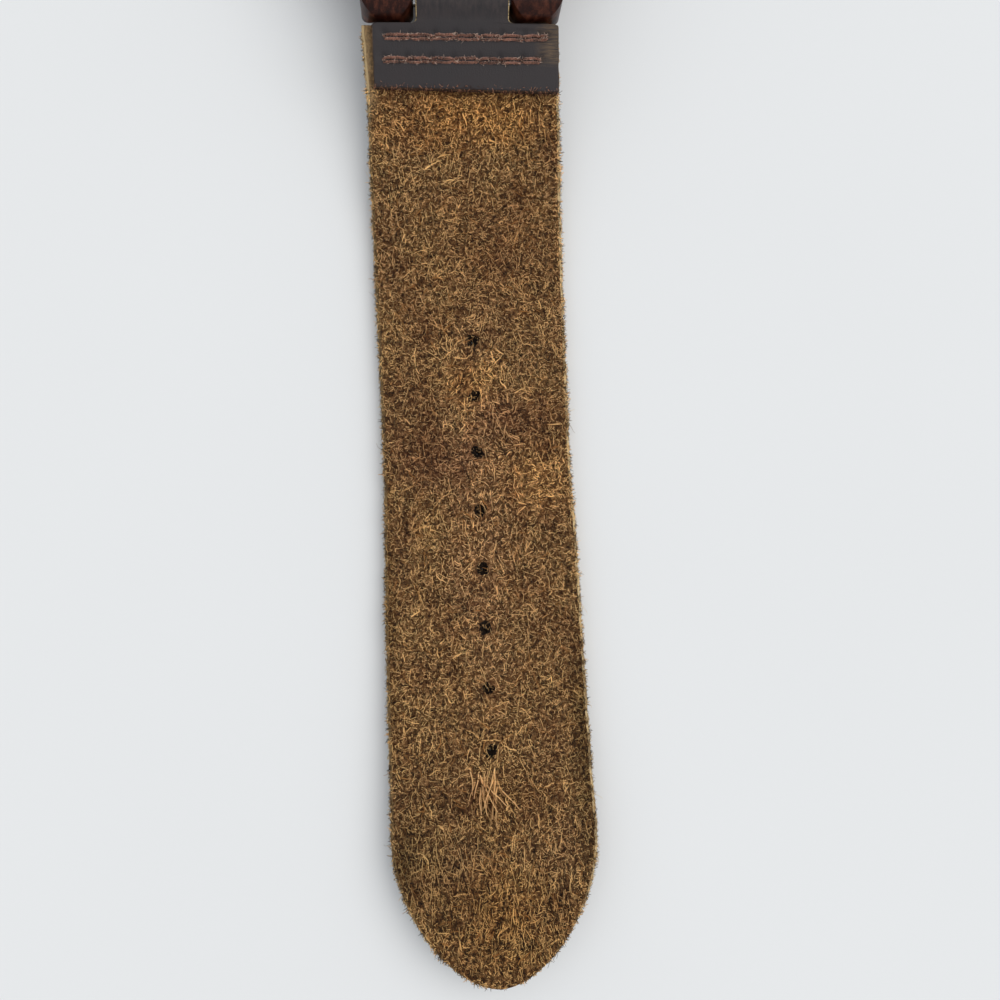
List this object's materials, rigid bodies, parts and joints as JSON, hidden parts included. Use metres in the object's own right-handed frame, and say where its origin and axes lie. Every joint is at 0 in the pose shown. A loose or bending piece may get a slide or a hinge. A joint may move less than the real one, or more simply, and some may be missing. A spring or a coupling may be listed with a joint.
{
  "type": "wooden wristwatch",
  "caption": "Round wooden wristwatch lying face down, with a quartz movement, a steel case back, and a two-piece suede-backed leather strap that swings on spring bars and closes with a pin buckle.",
  "frame": {"origin": "centre of the crystal's outer face, which lies on the table", "axes": "+Z towards the wrist side, +Y towards the buckle, -Y towards the long strap's tip, -X towards the crown"},
  "size_m": [0.0488, 0.2568, 0.0116],
  "materials": {
    "crystal": "clear mineral glass",
    "seal": "black rubber",
    "case_wood": "dark red-brown hardwood, polished",
    "dial_wood": "fine-grained wood veneer",
    "dial_metal": "satin",
    "brass": "satin brass",
    "back_steel": "circular brushed",
    "small_steel": "turned steel",
    "holder_plastic": "moulded white",
    "crown_steel": "polished and fluted",
    "wheel_plastic": "moulded",
    "magnet": "sintered magnet",
    "coil_wire": "enamelled copper wire",
    "board": "solder mask",
    "chip": "moulded black",
    "battery_steel": "nickel plated",
    "hand_metal": "satin",
    "second_hand_paint": "red-brown paint",
    "suede": "rough suede on the wrist side, smooth dark grain on the outside",
    "smooth_leather": "smooth dark grain",
    "thread": "fuzzy doubled thread",
    "buckle_steel": "polished steel"
  },
  "bodies": {
    "case": {"crystal": "crystal", "crystal_gasket": "seal", "bezel": "case_wood", "dial_flange": "dial_metal", "dial": "dial_wood", "hour_markers": "dial_metal", "case_body": "case_wood", "screw_inserts": "brass", "case_back": "back_steel", "case_back_gasket": "seal", "case_back_screws": "small_steel", "movement_holder": "holder_plastic", "crown_tube": "small_steel", "stator": "small_steel", "coil": "coil_wire", "main_plate": "brass", "train_bridge": "brass", "bridge_screws": "small_steel", "circuit_board": "board", "timing_chip": "chip", "quartz_can": "small_steel", "battery": "battery_steel", "battery_clip": "brass", "long_bar_tube": "small_steel", "long_bar_tips": "small_steel", "long_bar_spring": "small_steel", "short_bar_tube": "small_steel", "short_bar_tips": "small_steel", "short_bar_spring": "small_steel"},
    "long_strap": {"long_strap": "suede", "long_stitches": "thread"},
    "short_strap": {"short_strap": "suede", "short_stitches": "thread", "buckle_stitches": "thread", "fixed_keeper": "smooth_leather"},
    "free_keeper": {"free_keeper": "smooth_leather"},
    "buckle": {"buckle_frame": "buckle_steel", "buckle_bar": "small_steel"},
    "buckle_tongue": {"buckle_tongue": "buckle_steel"},
    "crown_seal": {"crown_gasket": "seal"},
    "crown": {"crown": "crown_steel", "winding_stem": "small_steel"},
    "setting_lever": {"setting_lever": "small_steel"},
    "yoke": {"yoke": "small_steel"},
    "sliding_pinion": {"sliding_pinion": "small_steel"},
    "setting_wheel": {"setting_wheel": "brass"},
    "minute_wheel": {"minute_wheel": "brass"},
    "hours": {"hour_wheel": "brass", "hour_hand": "hand_metal"},
    "minutes": {"cannon_pinion": "small_steel", "centre_wheel": "brass", "minute_hand": "hand_metal"},
    "seconds": {"seconds_wheel": "brass", "second_hand": "second_hand_paint"},
    "third_wheel": {"third_wheel": "brass"},
    "intermediate_wheel": {"intermediate_wheel": "wheel_plastic"},
    "rotor": {"rotor": "magnet"}
  },
  "joints": [
    {"name": "long_strap_swing", "type": "hinge", "parent": "case", "child": "long_strap", "pos_m": [0, -0.0252, 0.0089], "axis": [-1, 0, 0], "range_deg": [-20, 90]},
    {"name": "short_strap_swing", "type": "hinge", "parent": "case", "child": "short_strap", "pos_m": [0, 0.0252, 0.0089], "axis": [1, 0, 0], "range_deg": [-20, 90]},
    {"name": "free_keeper_slide", "type": "slide", "parent": "short_strap", "child": "free_keeper", "axis": [0, 1, 0], "range_m": [-0.008, 0.008]},
    {"name": "buckle_swing", "type": "hinge", "parent": "short_strap", "child": "buckle", "pos_m": [0, 0.0982, 0.0055], "axis": [1, 0, 0], "range_deg": [-35, 60]},
    {"name": "tongue_swing", "type": "hinge", "parent": "buckle", "child": "buckle_tongue", "pos_m": [0, 0.0982, 0.0055], "axis": [-1, 0, 0], "range_deg": [0, 100]},
    {"name": "crown_pull", "type": "slide", "parent": "case", "child": "crown_seal", "axis": [-1, 0, 0], "range_m": [0, 0.001]},
    {"name": "crown_turn", "type": "hinge", "parent": "crown_seal", "child": "crown", "pos_m": [-0.0228, 0, 0.0066], "axis": [-1, 0, 0], "continuous": true},
    {"name": "lever_swing", "type": "hinge", "parent": "case", "child": "setting_lever", "pos_m": [-0.0098, 0.003, 0.0066], "axis": [0, 0, 1], "range_deg": [-20, 0]},
    {"name": "yoke_shift", "type": "slide", "parent": "case", "child": "yoke", "axis": [-1, 0, 0], "range_m": [-0.0006, 0]},
    {"name": "pinion_turn", "type": "hinge", "parent": "yoke", "child": "sliding_pinion", "pos_m": [-0.0086, 0, 0.0066], "axis": [-1, 0, 0], "continuous": true},
    {"name": "seconds_turn", "type": "hinge", "parent": "case", "child": "seconds", "pos_m": [0, 0, 0.0066], "axis": [0, 0, 1], "continuous": true},
    {"name": "minutes_turn", "type": "hinge", "parent": "case", "child": "minutes", "pos_m": [0, 0, 0.0066], "axis": [0, 0, 1], "continuous": true},
    {"name": "hours_turn", "type": "hinge", "parent": "case", "child": "hours", "pos_m": [0, 0, 0.005], "axis": [0, 0, 1], "continuous": true},
    {"name": "third_turn", "type": "hinge", "parent": "case", "child": "third_wheel", "pos_m": [0.00231, 0.00276, 0.0066], "axis": [0, 0, 1], "continuous": true},
    {"name": "intermediate_turn", "type": "hinge", "parent": "case", "child": "intermediate_wheel", "pos_m": [-0.00276, 0.00231, 0.0066], "axis": [0, 0, 1], "continuous": true},
    {"name": "rotor_turn", "type": "hinge", "parent": "case", "child": "rotor", "pos_m": [-0.00469, 0.00393, 0.0066], "axis": [0, 0, 1], "continuous": true},
    {"name": "minute_wheel_turn", "type": "hinge", "parent": "case", "child": "minute_wheel", "pos_m": [-0.00206, -0.00295, 0.005], "axis": [0, 0, 1], "continuous": true},
    {"name": "setting_wheel_turn", "type": "hinge", "parent": "case", "child": "setting_wheel", "pos_m": [-0.00612, -0.00147, 0.005], "axis": [0, 0, 1], "continuous": true}
  ],
  "couplings": [
    {"joint": "lever_swing", "follows": "crown_pull", "rad_per_m": -333.33},
    {"joint": "yoke_shift", "follows": "crown_pull", "ratio": -0.6},
    {"joint": "pinion_turn", "follows": "crown_turn", "ratio": 1},
    {"joint": "minutes_turn", "follows": "seconds_turn", "ratio": 0.016667},
    {"joint": "hours_turn", "follows": "seconds_turn", "ratio": 0.0013889},
    {"joint": "third_turn", "follows": "seconds_turn", "ratio": -0.13333},
    {"joint": "intermediate_turn", "follows": "seconds_turn", "ratio": -5},
    {"joint": "rotor_turn", "follows": "seconds_turn", "ratio": 30},
    {"joint": "minute_wheel_turn", "follows": "seconds_turn", "ratio": -0.0055556},
    {"joint": "setting_wheel_turn", "follows": "seconds_turn", "ratio": 0.0092593}
  ]
}
